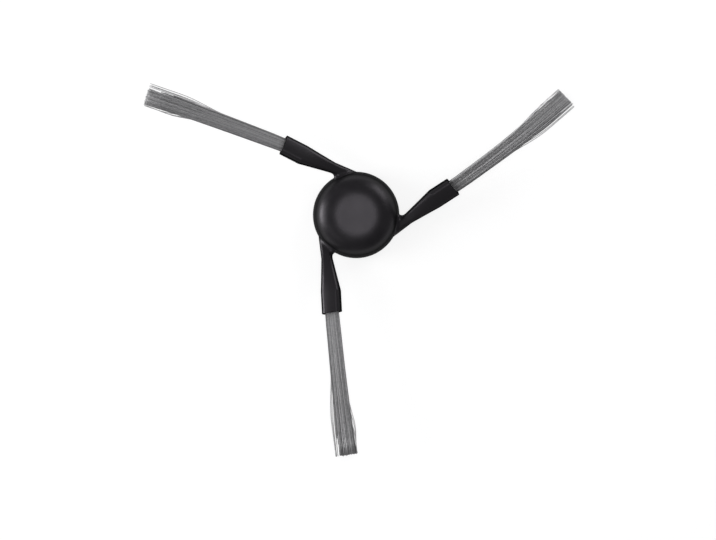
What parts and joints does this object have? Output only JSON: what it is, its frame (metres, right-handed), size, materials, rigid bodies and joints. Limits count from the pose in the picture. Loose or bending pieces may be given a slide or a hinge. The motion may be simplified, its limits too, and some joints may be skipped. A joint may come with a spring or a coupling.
{
  "type": "robot vacuum side brush",
  "caption": "Side brush for a robot vacuum cleaner: a black domed hub whose twisting arms each hold a tuft of grey bristles that sweeps dirt inwards as the hub turns.",
  "frame": {"origin": "on the drive axis, at the plane of the hub's back rim, which is the mouth of the drive socket", "axes": "+Z along the drive axis, from the back rim towards the dome, which faces the floor in use. +X and +Y are to the right and up when the dome is looked at squarely, with one arm pointing down"},
  "size_m": [0.1484, 0.1291, 0.0208],
  "materials": {
    "moulding": "satin black moulded elastomer",
    "bristle": "grey nylon bristle, cut square at the tip"
  },
  "bodies": {
    "root": {"hub_and_arms": "moulding", "bristle_tuft_right": "bristle", "bristle_tuft_left": "bristle", "bristle_tuft_lower": "bristle"}
  },
  "joints": []
}
